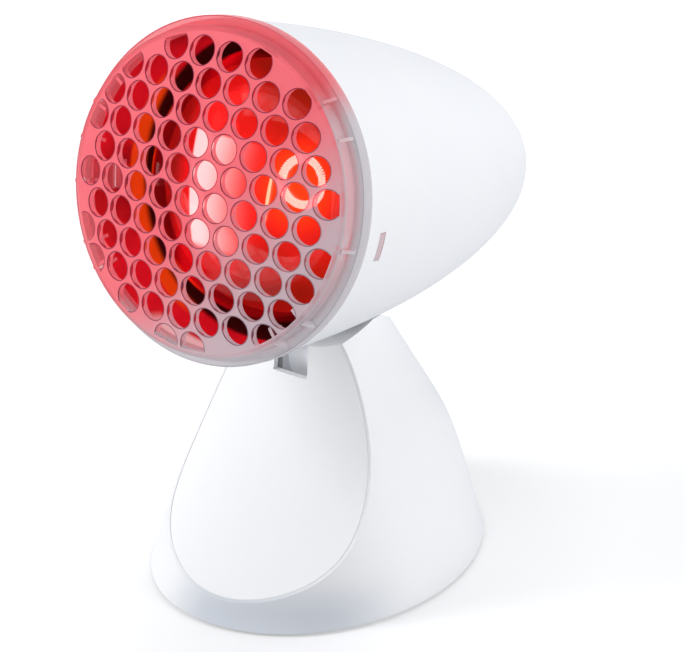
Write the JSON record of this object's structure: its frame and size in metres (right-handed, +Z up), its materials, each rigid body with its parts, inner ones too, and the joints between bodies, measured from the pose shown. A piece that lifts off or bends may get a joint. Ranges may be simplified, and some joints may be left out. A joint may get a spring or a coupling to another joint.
{
  "type": "infrared heat lamp",
  "caption": "Table-top infrared heat lamp: bell-shaped white head with a clear perforated screen over a red reflector bulb, tilting on a flared oval stand.",
  "frame": {"origin": "on the table under the middle of the oval foot", "axes": "+X to the lamp's own left side, -Y the way the lamp faces, +Z up"},
  "size_m": [0.118, 0.2008, 0.2199],
  "materials": {
    "white_shell": "moulded ABS, satin to gloss white",
    "clear_screen": "clear moulded polycarbonate",
    "ruby_glass": "ruby-stained reflector bulb",
    "clear_glass": "bulb stem glass",
    "tungsten": "coiled wire",
    "cap_metal": "pressed screw cap",
    "cap_glass": "black vitrite",
    "brass": "pressed brass",
    "ceramic": "unglazed porcelain",
    "steel": "zinc-plated steel",
    "spring_steel": "rolled spring steel",
    "shield_metal": "spun, bright",
    "bush_plastic": "acetal",
    "switch_plastic": "fine texture",
    "rocker_plastic": "polished",
    "block_plastic": "polyamide",
    "rubber": "soft black",
    "gland_rubber": "soft light grey",
    "lead_sleeve": "silicone-glass sleeving",
    "plate_plastic": "fine texture white"
  },
  "bodies": {
    "base": {"base_shell": "white_shell", "front_cover": "white_shell", "base_plate": "plate_plastic", "rubber_ring": "rubber", "plate_screws": "steel", "pivot_bushes": "bush_plastic", "detent_spring": "spring_steel", "detent_screw": "steel", "switch_body": "switch_plastic", "switch_terminals": "brass", "cable_gland": "gland_rubber", "cord_clamp": "block_plastic", "clamp_screws": "steel", "terminal_block": "block_plastic", "terminal_screws": "steel", "base_lead": "lead_sleeve", "switch_leads": "lead_sleeve"},
    "rocker": {"switch_rocker": "rocker_plastic"},
    "head": {"head_shell": "white_shell", "grille": "clear_screen", "bulb_glass": "ruby_glass", "bulb_filament": "tungsten", "filament_support": "clear_glass", "bulb_cap": "cap_metal", "cap_insulator": "cap_glass", "cap_contact": "brass", "lamp_holder": "ceramic", "holder_sleeve": "brass", "holder_contact": "brass", "holder_plate": "steel", "holder_plate_screws": "steel", "heat_shield": "shield_metal", "head_lead": "lead_sleeve", "pivot_tube": "steel", "pivot_clips": "spring_steel"}
  },
  "joints": [
    {"name": "head_tilt", "type": "hinge", "parent": "base", "child": "head", "pos_m": [0, 0.003, 0.08], "axis": [-1, 0, 0], "range_deg": [-14.65, 14.65]},
    {"name": "switch_rock", "type": "hinge", "parent": "base", "child": "rocker", "pos_m": [0, 0.05799, 0.03521], "axis": [-1, 0, 0], "range_deg": [0, 20]}
  ]
}
